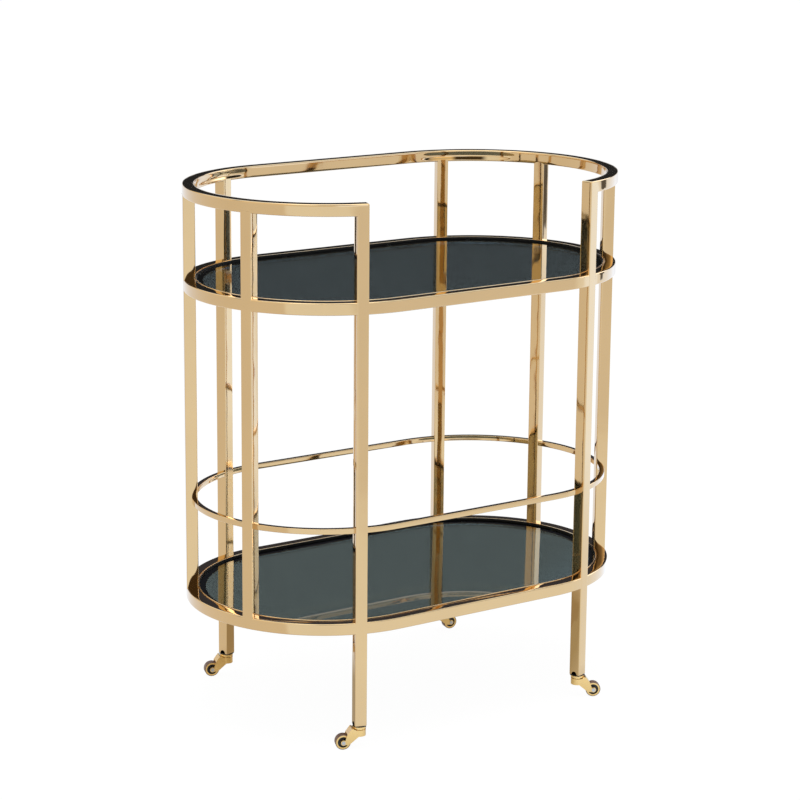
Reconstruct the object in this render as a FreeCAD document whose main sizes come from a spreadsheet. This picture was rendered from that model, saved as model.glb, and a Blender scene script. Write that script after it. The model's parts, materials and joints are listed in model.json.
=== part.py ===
"""Bar cart on wheels: a welded square-tube frame with oval glass shelves and four swivel casters.

Frame of the part: origin on the floor under the middle of the cart, +Z up, +X along its length,
-Y to the front, where the top rail is open. Everything is in millimetres and degrees.
"""
import FreeCAD, Part
import math
import os
import re
import Sketcher

# ---------------------------------------------------------------------------------------------
# Driving sizes: each line is a cell of the sheet "Sizes"
# ---------------------------------------------------------------------------------------------
SIZES = [
    ("tube", 20.5, "outer width of the square frame tube"),
    ("tube_wall", 1.5, "wall of the frame tube"),
    ("half_straight", 161.0, "half the length of the straight runs, front and rear"),
    ("ring_radius", 237.25, "outer radius of the round ends"),
    ("leg_angle", 17.6, "where the legs stand on the round ends, from the front or rear normal"),
    ("post_angle", 64.8, "where the end posts stand on the round ends, from the same normal"),
    ("rail_top", 915.0, "height of the top rail's upper face"),
    ("upper_shelf_top", 756.0, "height of the upper shelf ring's upper face"),
    ("lower_shelf_top", 221.0, "height of the lower shelf ring's upper face"),
    ("gallery_top", 380.0, "height of the gallery bar's upper face"),
    ("gallery_bar", 9.5, "width of the square gallery bar"),
    ("gallery_inset", 9.75, "gallery bar's outer face behind the outer face of the tubes"),
    ("seat_wall", 2.0, "thickness of the angle that carries the glass"),
    ("seat_ledge", 13.5, "width of the angle's ledge, its wall included"),
    ("seat_rise", 0.5, "top of the angle's upright above the ring's top"),
    ("glass_thickness", 5.0, "thickness of the glass"),
    ("glass_recess", 3.5, "top of the glass below the ring's top"),
    ("glass_gap", 0.8, "gap between the edge of the glass and the angle's upright"),
    ("glass_bevel", 0.8, "ground edge of the glass"),
    ("pad_thickness", 1.0, "thickness of the pads under the glass"),
    ("pad_radius", 4.5, "radius of the pads under the glass"),
    ("pad_spread", 110.0, "pads on the straights, from the middle of the cart"),
    ("pad_angle", 60.0, "pads on the round ends, to either side of the cart's long axis"),
    ("wheel_radius", 13.0, "outer radius of the tread"),
    ("wheel_width", 12.0, "width of the wheel and its tread"),
    ("tread_depth", 1.2, "depth of the tread band"),
    ("tread_edge", 0.5, "bevel along the edges of the tread"),
    ("rim_width", 2.6, "face of the rim, inside the tread"),
    ("hub_radius", 4.6, "radius of the hub"),
    ("recess_depth", 3.2, "depth of the recess between rim and hub"),
    ("wheel_side_gap", 0.5, "gap between the wheel and each arm of the fork"),
    ("wheel_top_gap", 1.2, "gap between the wheel and the fork's crown"),
    ("caster_offset", 28.0, "axle behind the swivel axis"),
    ("axle_radius", 2.0, "radius of the axle"),
    ("axle_head_radius", 3.2, "radius of the axle's rivet heads"),
    ("axle_head_height", 0.8, "height of the axle's rivet heads"),
    ("running_gap", 0.05, "radial clearance of a running fit"),
    ("swivel_gap", 0.3, "axial clearance of the swivel"),
    ("arm_thickness", 3.5, "thickness of the fork's arms"),
    ("tip_radius", 4.5, "radius of the arms' round ends"),
    ("boss_radius", 11.0, "radius of the fork's round crown"),
    ("boss_cavity", 8.0, "radius of the cavity under the crown"),
    ("boss_skirt", 4.4, "how far the crown's skirt hangs below its underside"),
    ("crown_thickness", 6.3, "thickness of the crown over the wheel"),
    ("lip_height", 3.3, "rise of the hood's lip beside the collar"),
    ("lip_gap", 0.8, "gap between the collar and the hood's lip"),
    ("collar_radius", 11.5, "radius of the collar under the leg"),
    ("collar_height", 3.2, "height of the collar"),
    ("race_radius", 9.5, "radius of the race between collar and crown"),
    ("race_height", 2.3, "height of the race, its swivel gap included"),
    ("stem_radius", 4.0, "radius of the caster's stem"),
    ("stem_reach", 24.0, "stem inside the leg"),
    ("stem_head_radius", 6.0, "radius of the stem's riveted head"),
    ("stem_head_height", 1.6, "height of the stem's riveted head"),
    ("plug_length", 28.0, "plug inside the leg"),
    ("plug_flange", 2.0, "flange of the plug under the leg"),
    ("plug_flange_inset", 1.0, "plug's flange inside the outer faces of the leg"),
    ("plug_gap", 0.1, "clearance of the plug in the leg, each side"),
    ("trail_front_left", 157.0, "direction in which the front left wheel trails"),
    ("trail_rear_left", 162.0, "direction in which the rear left wheel trails"),
    ("trail_front_right", 331.0, "direction in which the front right wheel trails"),
    ("trail_rear_right", 350.0, "direction in which the rear right wheel trails"),
]

doc = FreeCAD.newDocument("bar_cart")
sheet = doc.addObject("Spreadsheet::Sheet", "Sizes")
for row, (alias, value, note) in enumerate(SIZES, start=1):
    sheet.set(f"A{row}", note)
    sheet.set(f"B{row}", str(value))
    sheet.setAlias(f"B{row}", alias)
doc.recompute()
ALIASES = {alias for alias, value, note in SIZES}

# Places that follow from the sizes, as expressions in the sheet's words
BORE = "(tube - 2 * tube_wall)"
INNER_RADIUS = "(ring_radius - tube)"
RAIL_BOTTOM = "(rail_top - tube)"
CROWN_UNDERSIDE = "(2 * wheel_radius + wheel_top_gap)"
CROWN_TOP = f"({CROWN_UNDERSIDE} + crown_thickness)"
RACE_BOTTOM = f"({CROWN_TOP} + swivel_gap)"
COLLAR_BOTTOM = f"({CROWN_TOP} + race_height)"
COLLAR_TOP = f"({COLLAR_BOTTOM} + collar_height)"
LEG_BOTTOM = f"({COLLAR_TOP} + plug_flange)"
FORK_SLOT = "(wheel_width + 2 * wheel_side_gap)"
FORK_WIDTH = f"({FORK_SLOT} + 2 * arm_thickness)"
MITRE_HEIGHT = "(rail_top - tube / 2)"
REACH = "(4 * (half_straight + ring_radius))"
TALL = "(2 * rail_top)"

# The uprights, counter-clockwise from the front left: side (-1 left, 1 right), row (-1 front,
# 1 rear) and the size that says where it stands on the round end
UPRIGHTS = {
    "front_left_leg": (-1, -1, "leg_angle"),
    "front_right_leg": (1, -1, "leg_angle"),
    "right_front_post": (1, -1, "post_angle"),
    "right_rear_post": (1, 1, "post_angle"),
    "rear_right_leg": (1, 1, "leg_angle"),
    "rear_left_leg": (-1, 1, "leg_angle"),
    "left_rear_post": (-1, 1, "post_angle"),
    "left_front_post": (-1, -1, "post_angle"),
}
CORNERS = ["front_left", "front_right", "rear_left", "rear_right"]


# ---------------------------------------------------------------------------------------------
# Helpers
# ---------------------------------------------------------------------------------------------
def bound(expression):
    """The expression with each of the sheet's words as a reference to its cell."""
    def cell(match):
        word = match.group(0)
        return f"Sizes.{word}" if word in ALIASES else word
    return re.sub(r"[a-z_]+", cell, str(expression))


def value(expression):
    """The number that an expression stands for."""
    return float(sheet.evalExpression(bound(expression)))


def bind(item, **places):
    """Bind properties of an object to expressions; x, y, z and turn are its placement."""
    paths = {"x": "Placement.Base.x", "y": "Placement.Base.y", "z": "Placement.Base.z",
             "turn": "Placement.Rotation.Angle"}
    for name, expression in places.items():
        item.setExpression(paths.get(name, name), bound(expression))
    return item


def helper(kind, **places):
    """An object that only serves others, under a name that the document numbers."""
    return bind(doc.addObject(kind, "helper"), **places)


def box(length, width, height, x="0", y="0", z="0", turn="0"):
    return helper("Part::Box", Length=length, Width=width, Height=height, x=x, y=y, z=z, turn=turn)


def upright_cylinder(radius, height, x="0", y="0", z="0"):
    return helper("Part::Cylinder", Radius=radius, Height=height, x=x, y=y, z=z)


def cross_cylinder(radius, length, x, z):
    """A cylinder along Y, centred on the XZ plane."""
    cylinder = doc.addObject("Part::Cylinder", "helper")
    cylinder.Placement = FreeCAD.Placement(FreeCAD.Vector(), FreeCAD.Rotation(FreeCAD.Vector(1, 0, 0), -90))
    return bind(cylinder, Radius=radius, Height=length, x=x, y=f"-{length} / 2", z=z)


def boolean(kind, label, *parts):
    """Part::MultiCommon or Part::MultiFuse of the parts, or Part::Cut of the first by the rest."""
    result = doc.addObject(kind, label)
    result.Label = label
    if kind == "Part::Cut":
        result.Base = parts[0]
        result.Tool = parts[1] if len(parts) == 2 else boolean("Part::MultiFuse", "helper", *parts[1:])
    else:
        result.Shapes = list(parts)
    result.Refine = True
    return result


def attached_sketch(body, plane):
    """A sketch on one of the body's own origin planes."""
    planes = {feature.Role: feature for feature in body.Origin.OriginFeatures}
    sketch = body.newObject("Sketcher::SketchObject", "outline")
    sketch.AttachmentSupport = [(planes[plane], "")]
    sketch.MapMode = "FlatFace"
    return sketch


def constrain(sketch, expression, *arguments):
    """Add a dimension whose value is bound to the sheet."""
    index = sketch.addConstraint(Sketcher.Constraint(*arguments, value(expression)))
    sketch.renameConstraint(index, f"size_{index}")
    sketch.setExpression(f"Constraints.size_{index}", bound(expression))


def add_polygon(sketch, points):
    """A closed outline through the points, each a pair of expressions."""
    start = sketch.GeometryCount
    spots = [FreeCAD.Vector(value(x), value(y), 0) for x, y in points]
    for spot, following in zip(spots, spots[1:] + spots[:1]):
        sketch.addGeometry(Part.LineSegment(spot, following), False)
    last = len(points) - 1
    for i in range(len(points)):
        following = start + i + 1 if i < last else start
        sketch.addConstraint(Sketcher.Constraint("Coincident", start + i, 2, following, 1))
    for i, (x, y) in enumerate(points):
        constrain(sketch, x, "DistanceX", start + i, 1)
        constrain(sketch, y, "DistanceY", start + i, 1)


def add_stadium(sketch, radius):
    """A stadium outline: two half circles of this radius joined by the straight runs."""
    start = sketch.GeometryCount
    reach, size = value("half_straight"), value(radius)
    quarter = math.pi / 2
    for side in (1, -1):
        centre = FreeCAD.Vector(side * reach, 0, 0)
        circle = Part.Circle(centre, FreeCAD.Vector(0, 0, 1), size)
        first = -side * quarter
        sketch.addGeometry(Part.ArcOfCircle(circle, first, first + 2 * quarter), False)
        line = Part.LineSegment(FreeCAD.Vector(side * reach, side * size, 0),
                                FreeCAD.Vector(-side * reach, side * size, 0))
        sketch.addGeometry(line, False)
    for i in range(4):
        sketch.addConstraint(Sketcher.Constraint("Tangent", start + i, 2, start + (i + 1) % 4, 1))
    sketch.addConstraint(Sketcher.Constraint("PointOnObject", start, 3, -1))
    sketch.addConstraint(Sketcher.Constraint("Symmetric", start, 3, start + 2, 3, -1, 1))
    sketch.addConstraint(Sketcher.Constraint("Equal", start, start + 2))
    constrain(sketch, radius, "Radius", start)
    constrain(sketch, "half_straight", "DistanceX", -1, 1, start, 3)


def stadium_plate(label, height, bottom, *radii):
    """A pad of one stadium, or of the ring between two."""
    body = doc.addObject("PartDesign::Body", label)
    body.Label = label
    sketch = attached_sketch(body, "XY_Plane")
    for radius in radii:
        add_stadium(sketch, radius)
    pad = body.newObject("PartDesign::Pad", "plate")
    pad.Profile = sketch
    bind(pad, Length=height)
    return bind(body, z=bottom)


def side_profile(label, points, width, **places):
    """A pad of an outline in the XZ plane, centred on that plane."""
    body = doc.addObject("PartDesign::Body", label)
    body.Label = label
    sketch = attached_sketch(body, "XZ_Plane")
    add_polygon(sketch, points)
    pad = body.newObject("PartDesign::Pad", "plate")
    pad.Profile = sketch
    pad.SideType = "Symmetric"
    bind(pad, Length=width)
    return bind(body, **places)


def turned(label, plane, axis, points, **places):
    """A turned piece: an outline revolved about the sketch's own axis."""
    body = doc.addObject("PartDesign::Body", label)
    body.Label = label
    sketch = attached_sketch(body, plane)
    add_polygon(sketch, points)
    revolution = body.newObject("PartDesign::Revolution", "turning")
    revolution.Profile = sketch
    revolution.ReferenceAxis = (sketch, [axis])
    revolution.Angle = 360
    return bind(body, **places)


# ---------------------------------------------------------------------------------------------
# Places of the uprights
# ---------------------------------------------------------------------------------------------
def upright_turn(name):
    """Turn about Z that brings an upright's own -Y side to face straight out of the cart."""
    side, row, angle = UPRIGHTS[name]
    return f"{side} * {angle}" if row < 0 else f"180 - {side} * {angle}"


def upright_point(name, across, outward):
    """A point in an upright's own directions: across runs counter-clockwise round the cart and
    outward runs from the centre of its round end."""
    side, row, angle = UPRIGHTS[name]
    turn = upright_turn(name)
    x = f"{side} * half_straight + ({across}) * cos({turn}) + ({outward}) * sin({turn})"
    y = f"({across}) * sin({turn}) - ({outward}) * cos({turn})"
    return {"x": x, "y": y, "turn": turn}


def upright_axis(name):
    return upright_point(name, "0", "ring_radius - tube / 2")


def beside(name, direction):
    """A block that fills all space on one side of an upright, up against its side face."""
    across = "tube / 2" if direction > 0 else f"-tube / 2 - {REACH}"
    return box(REACH, REACH, TALL, **upright_point(name, across, f"{REACH} / 2"))


AFTER = {name: beside(name, 1) for name in UPRIGHTS}
BEFORE = {name: beside(name, -1) for name in UPRIGHTS}
FRONT_HALF = box(REACH, REACH, TALL, x=f"-{REACH} / 2", y=f"-{REACH}")
REAR_HALF = box(REACH, REACH, TALL, x=f"-{REACH} / 2")


# ---------------------------------------------------------------------------------------------
# Frame
# ---------------------------------------------------------------------------------------------
def square_tube(label, bottom, top, name):
    """A hollow square upright at the place of the one named."""
    length = f"{top} - {bottom}"
    outer = box("tube", "tube", length, x="-tube / 2", y="-tube / 2", z=bottom)
    inner = box(BORE, BORE, length, x=f"-{BORE} / 2", y=f"-{BORE} / 2", z=bottom)
    return bind(boolean("Part::Cut", label, outer, inner), **upright_axis(name))


def mitred_leg(name):
    """A front leg, cut at 45 degrees where the top rail's end meets it."""
    away = UPRIGHTS[name][0]
    past = "(tube / 2 + 1)"
    corners = [(f"{away} * {past}", f"{MITRE_HEIGHT} + {past}"),
               (f"{away} * {past}", f"{MITRE_HEIGHT} - {past}"),
               (f"-{away} * {past}", f"{MITRE_HEIGHT} + {past}")]
    tube = square_tube("helper", LEG_BOTTOM, "rail_top", name)
    cutter = side_profile("helper", corners, "2 * tube", **upright_axis(name))
    return boolean("Part::Cut", name, tube, cutter)


def hollow_ring(label, top):
    """A stadium ring of the frame's square tube."""
    shell = stadium_plate("helper", "tube", f"{top} - tube", "ring_radius", INNER_RADIUS)
    hollow = stadium_plate("helper", BORE, f"{top} - tube + tube_wall",
                           "ring_radius - tube_wall", f"{INNER_RADIUS} + tube_wall")
    return boolean("Part::Cut", label, shell, hollow)


def top_rail():
    """The top rail's ring, opened between the front legs and cut at 45 degrees on them."""
    past = "(tube / 2 + 1)"
    cutters = []
    for name in ("front_left_leg", "front_right_leg"):
        away = -UPRIGHTS[name][0]
        corners = [(f"-{away} * {past}", f"{MITRE_HEIGHT} - {past}"),
                   (f"{away} * {REACH}", f"{MITRE_HEIGHT} - {past}"),
                   (f"{away} * {REACH}", f"{MITRE_HEIGHT} + {past}"),
                   (f"{away} * {past}", f"{MITRE_HEIGHT} + {past}")]
        cutters.append(side_profile("helper", corners, REACH, **upright_axis(name)))
    opening = boolean("Part::MultiCommon", "helper", *cutters, FRONT_HALF)
    return boolean("Part::Cut", "top_rail", hollow_ring("helper", "rail_top"), opening)


def ring_spans(prefix, ring, names, labels):
    """The lengths of a ring between neighbouring uprights, in the order of names."""
    spans = []
    for name, following, label in zip(names, names[1:] + names[:1], labels):
        limits = [ring, AFTER[name], BEFORE[following]]
        if label == "front":
            limits.append(FRONT_HALF)
        if label == "rear":
            limits.append(REAR_HALF)
        spans.append(boolean("Part::MultiCommon", f"{prefix}_{label}", *limits))
    return spans


def frame():
    names = list(UPRIGHTS)
    legs = [name for name in names if name.endswith("leg")]
    labels = ["front", "right_front", "right", "right_rear", "rear", "left_rear", "left", "left_front"]
    pieces = [mitred_leg("front_left_leg"), mitred_leg("front_right_leg")]
    for name in ("rear_left_leg", "rear_right_leg"):
        pieces.append(square_tube(name, LEG_BOTTOM, RAIL_BOTTOM, name))
    for name in names:
        if name not in legs:
            pieces.append(square_tube(name, "lower_shelf_top", RAIL_BOTTOM, name))
    pieces.append(top_rail())
    gallery_outer = "(ring_radius - gallery_inset)"
    gallery = stadium_plate("helper", "gallery_bar", "gallery_top - gallery_bar",
                            gallery_outer, f"{gallery_outer} - gallery_bar")
    upper = hollow_ring("helper", "upper_shelf_top")
    lower = hollow_ring("helper", "lower_shelf_top")
    pieces += ring_spans("upper_shelf", upper, names, labels)
    pieces += ring_spans("gallery", gallery, names, labels)
    pieces += ring_spans("lower_shelf", lower, legs, ["front", "right", "rear", "left"])
    return pieces


# ---------------------------------------------------------------------------------------------
# Shelves
# ---------------------------------------------------------------------------------------------
def glass_seat(label, top):
    """The angle inside a shelf's ring: an upright against the tubes and a ledge for the glass."""
    ledge_top = f"({top} - glass_recess - glass_thickness - pad_thickness)"
    bottom = f"{ledge_top} - seat_wall"
    outer = stadium_plate("helper", f"{top} + seat_rise - ({bottom})", bottom,
                          INNER_RADIUS, f"{INNER_RADIUS} - seat_ledge")
    trough = stadium_plate("helper", "2 * tube", ledge_top, f"{INNER_RADIUS} - seat_wall",
                           f"{INNER_RADIUS} - seat_ledge - seat_wall")
    return boolean("Part::Cut", label, outer, trough)


def glass(label, top):
    """A glass plate with ground edges."""
    bottom = f"{top} - glass_recess - glass_thickness"
    plate = stadium_plate(label, "glass_thickness", bottom, f"{INNER_RADIUS} - seat_wall - glass_gap")
    doc.recompute()
    pad = plate.Tip
    level = [f"Edge{i}" for i, edge in enumerate(pad.Shape.Edges, start=1)
             if edge.BoundBox.ZLength < pad.Shape.BoundBox.ZLength / 2]
    bevel = plate.newObject("PartDesign::Chamfer", "ground_edge")
    bevel.Base = (pad, level)
    bind(bevel, Size="glass_bevel")
    return plate


def pads():
    """Pads between glass and seats: on the straights and on the round ends of both shelves."""
    ring = f"({INNER_RADIUS} - (seat_ledge + seat_wall) / 2)"
    discs = []
    for top in ("upper_shelf_top", "lower_shelf_top"):
        bottom = f"{top} - glass_recess - glass_thickness - pad_thickness"
        for side in (-1, 1):
            for row in (-1, 1):
                straight = {"x": f"{side} * pad_spread", "y": f"{row} * {ring}"}
                around = {"x": f"{side} * (half_straight + {ring} * cos(pad_angle))",
                          "y": f"{row} * {ring} * sin(pad_angle)"}
                for spot in (straight, around):
                    discs.append(upright_cylinder("pad_radius", "pad_thickness", z=bottom, **spot))
    group = doc.addObject("Part::Compound", "glass_pads")
    group.Label = "glass_pads"
    group.Links = discs
    return group


def shelves():
    return [glass_seat("upper_glass_seat", "upper_shelf_top"),
            glass_seat("lower_glass_seat", "lower_shelf_top"),
            glass("upper_glass", "upper_shelf_top"),
            glass("lower_glass", "lower_shelf_top"),
            pads()]


# ---------------------------------------------------------------------------------------------
# Casters, each in its own directions: +X the way the wheel trails, Z the swivel axis
# ---------------------------------------------------------------------------------------------
def corner_leg(corner):
    return f"{corner}_leg"


def corner_point(corner, trailing, height="0"):
    """A point this far behind the swivel axis, turned the way the caster trails."""
    axis = upright_axis(corner_leg(corner))
    turn = f"trail_{corner}"
    return {"x": f"{axis['x']} + ({trailing}) * cos({turn})",
            "y": f"{axis['y']} + ({trailing}) * sin({turn})",
            "z": height, "turn": turn}


def stem(corner):
    """The stem, with its riveted head in the cavity under the crown."""
    head_top = f"{CROWN_UNDERSIDE} - swivel_gap"
    outline = [("0", f"{head_top} - stem_head_height"),
               ("stem_head_radius", f"{head_top} - stem_head_height"),
               ("stem_head_radius", head_top),
               ("stem_radius", head_top),
               ("stem_radius", f"{LEG_BOTTOM} + stem_reach"),
               ("0", f"{LEG_BOTTOM} + stem_reach")]
    return turned(f"caster_stem_{corner}", "XZ_Plane", "V_Axis", outline, **corner_point(corner, "0"))


def collar(corner):
    """The bright ring under the leg, with the race below it."""
    hole = "stem_radius + running_gap"
    outline = [(hole, RACE_BOTTOM), ("race_radius", RACE_BOTTOM), ("race_radius", COLLAR_BOTTOM),
               ("collar_radius", COLLAR_BOTTOM), ("collar_radius", COLLAR_TOP), (hole, COLLAR_TOP)]
    return turned(f"caster_collar_{corner}", "XZ_Plane", "V_Axis", outline, **corner_point(corner, "0"))


def fork(corner):
    """The fork: a round crown, a hood that rises beside the collar and runs down over the wheel,
    and two arms that narrow to the axle."""
    skirt = f"({CROWN_UNDERSIDE} - boss_skirt)"
    outline = [("0", skirt),
               ("0", CROWN_TOP),
               ("boss_radius / 2", CROWN_TOP),
               ("collar_radius + 2 * lip_gap", f"{CROWN_TOP} + lip_height"),
               ("collar_radius + 3.5 * lip_gap", f"{CROWN_TOP} + lip_height"),
               ("caster_offset - wheel_radius / 2", CROWN_UNDERSIDE),
               ("caster_offset - 0.6 * tip_radius", "wheel_radius + 0.6 * tip_radius"),
               ("caster_offset", "wheel_radius"),
               ("caster_offset - 0.2 * tip_radius", "wheel_radius - 0.9 * tip_radius"),
               ("caster_offset - 2.3 * tip_radius", "wheel_radius - 0.7 * tip_radius"),
               ("boss_radius / 5", skirt)]
    plate = side_profile("helper", outline, FORK_WIDTH)
    boss = upright_cylinder("boss_radius", "crown_thickness + boss_skirt", z=skirt)
    tip = cross_cylinder("tip_radius", FORK_WIDTH, "caster_offset", "wheel_radius")
    slot = box("2 * caster_offset", FORK_SLOT, CROWN_UNDERSIDE, y=f"-{FORK_SLOT} / 2")
    cavity = upright_cylinder("boss_cavity", CROWN_UNDERSIDE)
    bore = upright_cylinder("stem_radius + running_gap", LEG_BOTTOM)
    axle_bore = cross_cylinder("axle_radius", f"2 * {FORK_WIDTH}", "caster_offset", "wheel_radius")
    pocket = upright_cylinder("collar_radius + lip_gap", "2 * lip_height", z=CROWN_TOP)
    blank = boolean("Part::MultiFuse", "helper", plate, boss, tip)
    shape = boolean("Part::Cut", f"caster_fork_{corner}", blank, slot, cavity, bore, axle_bore, pocket)
    return bind(shape, **corner_point(corner, "0"))


def axle(corner):
    """A rivet through both arms."""
    half = f"({FORK_WIDTH} / 2)"
    end = f"({half} + axle_head_height)"
    outline = [(f"-{end}", "0"), (f"-{end}", "axle_head_radius"), (f"-{half}", "axle_head_radius"),
               (f"-{half}", "axle_radius"), (half, "axle_radius"), (half, "axle_head_radius"),
               (end, "axle_head_radius"), (end, "0")]
    return turned(f"caster_axle_{corner}", "YZ_Plane", "H_Axis", outline,
                  **corner_point(corner, "caster_offset", "wheel_radius"))


def wheel(corner):
    """The wheel's core: rim, recess and hub on both faces."""
    half = "(wheel_width / 2)"
    floor = f"({half} - recess_depth)"
    rim = "(wheel_radius - tread_depth)"
    bore = "axle_radius + running_gap"
    near = [(half, bore), (half, "hub_radius"), (floor, "hub_radius"), (floor, f"{rim} - rim_width"),
            (half, f"{rim} - rim_width"), (half, rim)]
    far = [(f"-{axial}", radial) for axial, radial in reversed(near)]
    return turned(f"caster_wheel_{corner}", "YZ_Plane", "H_Axis", near + far,
                  **corner_point(corner, "caster_offset", "wheel_radius"))


def tread(corner):
    """The band round the wheel."""
    half = "(wheel_width / 2)"
    rim = "wheel_radius - tread_depth"
    outline = [(f"-{half}", rim), (f"-{half}", "wheel_radius - tread_edge"),
               (f"-{half} + tread_edge", "wheel_radius"), (f"{half} - tread_edge", "wheel_radius"),
               (half, "wheel_radius - tread_edge"), (half, rim)]
    return turned(f"caster_tread_{corner}", "YZ_Plane", "H_Axis", outline,
                  **corner_point(corner, "caster_offset", "wheel_radius"))


def leg_plugs():
    """The inserts in the legs' lower ends, one for each leg."""
    width = f"({BORE} - 2 * plug_gap)"
    flange_width = "(tube - 2 * plug_flange_inset)"
    plugs = []
    for corner in CORNERS:
        core = box(width, width, "plug_length", x=f"-{width} / 2", y=f"-{width} / 2", z=LEG_BOTTOM)
        flange = box(flange_width, flange_width, "plug_flange",
                     x=f"-{flange_width} / 2", y=f"-{flange_width} / 2", z=f"{LEG_BOTTOM} - plug_flange")
        bore = upright_cylinder("stem_radius + running_gap", f"{LEG_BOTTOM} + 2 * plug_length")
        blank = boolean("Part::MultiFuse", "helper", core, flange)
        plugs.append(bind(boolean("Part::Cut", "helper", blank, bore), **upright_axis(corner_leg(corner))))
    group = doc.addObject("Part::Compound", "leg_plugs")
    group.Label = "leg_plugs"
    group.Links = plugs
    return group


def casters():
    pieces = [leg_plugs()]
    for corner in CORNERS:
        pieces += [stem(corner), collar(corner), fork(corner), axle(corner), wheel(corner), tread(corner)]
    return pieces


# ---------------------------------------------------------------------------------------------
# Build, check and write
# ---------------------------------------------------------------------------------------------
nodes = frame() + shelves() + casters()
doc.recompute()

for item in doc.Objects:
    if "Invalid" in item.State or "Error" in item.State:
        raise RuntimeError(f"{item.Label} failed: {item.State}")
for node in nodes:
    if node.Shape.isNull() or not node.Shape.isValid() or not node.Shape.Solids:
        raise RuntimeError(f"{node.Label} has no valid solid")

os.makedirs("parts", exist_ok=True)
for node in nodes:
    node.Shape.exportStep(f"parts/{node.Label}.step")
print(f"{len(nodes)} nodes written")
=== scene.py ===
"""Bar cart on wheels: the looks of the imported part, in metres, in the part's own frame."""
import json
import math

import bpy
from mathutils import Matrix, Vector


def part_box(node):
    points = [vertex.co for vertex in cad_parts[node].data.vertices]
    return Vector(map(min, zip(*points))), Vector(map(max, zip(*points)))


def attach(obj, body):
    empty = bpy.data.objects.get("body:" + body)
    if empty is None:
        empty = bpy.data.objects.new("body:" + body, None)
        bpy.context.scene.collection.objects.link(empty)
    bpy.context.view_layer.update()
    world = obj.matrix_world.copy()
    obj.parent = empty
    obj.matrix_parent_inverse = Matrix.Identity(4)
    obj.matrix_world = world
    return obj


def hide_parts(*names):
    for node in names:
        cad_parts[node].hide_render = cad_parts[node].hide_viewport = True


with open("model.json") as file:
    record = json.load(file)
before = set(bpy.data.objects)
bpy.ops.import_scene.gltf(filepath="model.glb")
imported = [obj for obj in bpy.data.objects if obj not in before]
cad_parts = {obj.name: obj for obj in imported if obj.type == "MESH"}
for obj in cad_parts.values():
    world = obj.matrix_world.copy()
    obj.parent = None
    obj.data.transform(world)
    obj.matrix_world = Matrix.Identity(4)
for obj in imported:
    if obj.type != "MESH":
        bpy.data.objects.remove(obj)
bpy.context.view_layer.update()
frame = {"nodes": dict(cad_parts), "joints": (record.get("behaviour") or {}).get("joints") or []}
nodes = frame["nodes"]
CORNERS = ["front_left", "front_right", "rear_left", "rear_right"]
POSTS = ["left_front_post", "left_rear_post", "right_front_post", "right_rear_post"]
CUT_AT_POSTS = ["front", "right_front", "right", "right_rear", "rear", "left_rear", "left", "left_front"]
SPANS = {
    "upper_shelf": CUT_AT_POSTS,
    "gallery": CUT_AT_POSTS,
    "lower_shelf": ["front", "right", "rear", "left"],
}
UP = Vector((0, 0, 1))


def joint_box(names):
    """The box round several CAD nodes."""
    boxes = [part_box(name) for name in names]
    return (Vector([min(low[axis] for low, _ in boxes) for axis in range(3)]),
            Vector([max(high[axis] for _, high in boxes) for axis in range(3)]))


def oval_of(names):
    """(half the straight length, outer radius, lowest and highest) of an oval of CAD nodes."""
    low, high = joint_box(names)
    return (high.x - low.x - high.y + low.y) / 2, (high.y - low.y) / 2, low.z, high.z


def spans_of(oval):
    """The names of the CAD nodes that an oval is made of."""
    return [oval + "_" + span for span in SPANS[oval]]


HALF_STRAIGHT, OUTER_RADIUS, RING_LOW, RING_HIGH = oval_of(spans_of("upper_shelf"))
TUBE = RING_HIGH - RING_LOW

# ---------------------------------------------------------------------------------------------
# Camera: where it stands, from the middle of the cart's footprint. Degrees, metres and, for the
# lens, millimetres.
# ---------------------------------------------------------------------------------------------
CAMERA_AZIMUTH = -34.43
CAMERA_ELEVATION = 13.49
CAMERA_ROLL = 0.51
CAMERA_DISTANCE = 4.41
CAMERA_FOCAL_LENGTH = 114.68
CAMERA_SENSOR = 36.0
CAMERA_REACH = 100
AIM_HEIGHT = 0.5575
AIM_RIGHT = -0.0046
AIM_UP = -0.0354


def make_camera():
    """The camera looks at a point a little off the middle, which sets the framing."""
    azimuth, elevation = math.radians(CAMERA_AZIMUTH), math.radians(CAMERA_ELEVATION)
    back = Vector((math.sin(azimuth) * math.cos(elevation),
                   -math.cos(azimuth) * math.cos(elevation),
                   math.sin(elevation)))
    roll = Matrix.Rotation(math.radians(CAMERA_ROLL), 3, "Z").to_quaternion()
    turn = (-back).to_track_quat("-Z", "Y") @ roll
    right, up = turn @ Vector((1, 0, 0)), turn @ Vector((0, 1, 0))
    aim = Vector((0, 0, AIM_HEIGHT)) + right * AIM_RIGHT + up * AIM_UP
    data = bpy.data.cameras.new("camera")
    data.lens = CAMERA_FOCAL_LENGTH
    data.sensor_width = CAMERA_SENSOR
    data.clip_end = CAMERA_REACH
    camera = bpy.data.objects.new("camera", data)
    bpy.context.scene.collection.objects.link(camera)
    camera.rotation_mode = "QUATERNION"
    camera.location = aim + back * CAMERA_DISTANCE
    camera.rotation_quaternion = turn
    bpy.context.scene.camera = camera


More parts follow.
